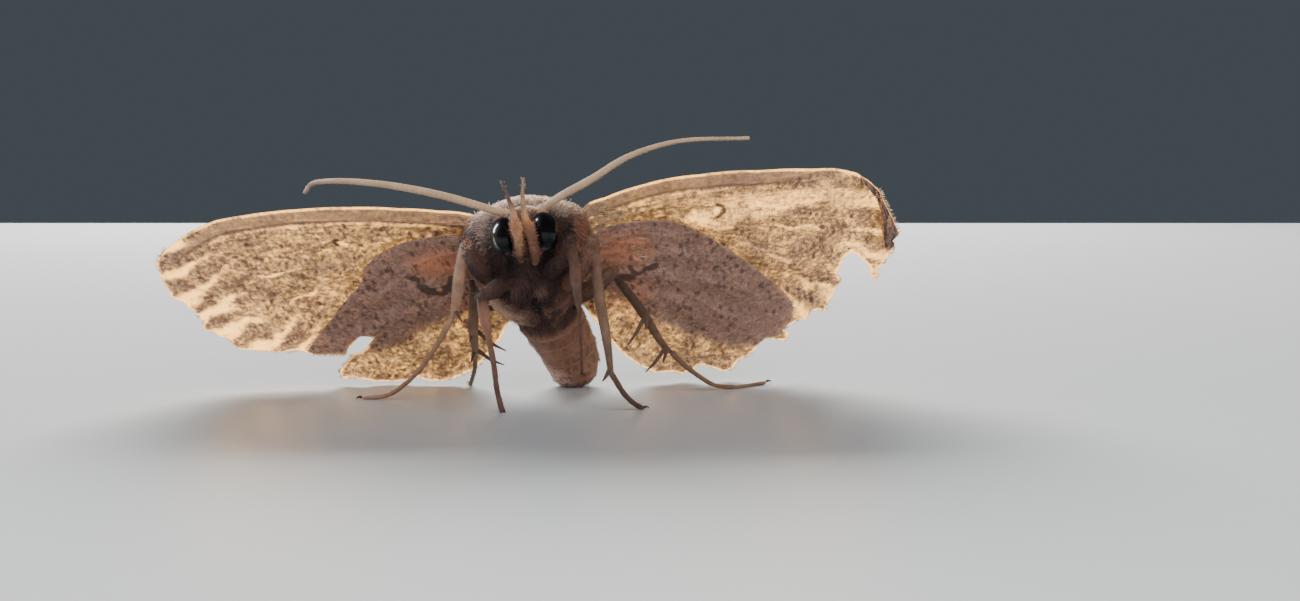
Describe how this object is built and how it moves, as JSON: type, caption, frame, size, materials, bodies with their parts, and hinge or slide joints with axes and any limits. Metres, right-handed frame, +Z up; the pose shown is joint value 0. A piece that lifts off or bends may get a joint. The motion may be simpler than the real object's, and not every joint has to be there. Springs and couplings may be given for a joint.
{
  "type": "moth",
  "caption": "Tan, broad-winged moth with worn, speckled wings spread flat out and its body reared up, standing on its feet and the tip of its abdomen.",
  "frame": {"origin": "middle of the standing footprint, on the floor", "axes": "+X toward the moth's own left side, -Y the way the head looks, +Z up"},
  "size_m": [0.0488, 0.0172, 0.0175],
  "materials": {
    "dark_fur": "matte, dark brown shaggy hair",
    "abdomen_scales": "matte, pinkish brown scales",
    "tan_scales": "matte, tan scales",
    "wing_scales": "matte, speckled ochre scales",
    "eye": "glossy black"
  },
  "bodies": {
    "root": {"head": "dark_fur", "thorax": "dark_fur", "abdomen": "abdomen_scales", "eye_left": "eye", "palp_left": "tan_scales", "antenna_left": "tan_scales", "forewing_left": "wing_scales", "hindwing_left": "wing_scales", "eye_right": "eye", "palp_right": "tan_scales", "antenna_right": "tan_scales", "forewing_right": "wing_scales", "hindwing_right": "wing_scales", "femur_fore_left": "dark_fur", "tibia_fore_left": "tan_scales", "tarsus_fore_left": "tan_scales", "femur_fore_right": "dark_fur", "tibia_fore_right": "tan_scales", "tarsus_fore_right": "tan_scales", "femur_mid_left": "dark_fur", "tibia_mid_left": "tan_scales", "tarsus_mid_left": "tan_scales", "femur_mid_right": "dark_fur", "tibia_mid_right": "tan_scales", "tarsus_mid_right": "tan_scales", "femur_hind_left": "dark_fur", "tibia_hind_left": "tan_scales", "tarsus_hind_left": "tan_scales", "femur_hind_right": "dark_fur", "tibia_hind_right": "tan_scales", "tarsus_hind_right": "tan_scales"}
  },
  "joints": []
}
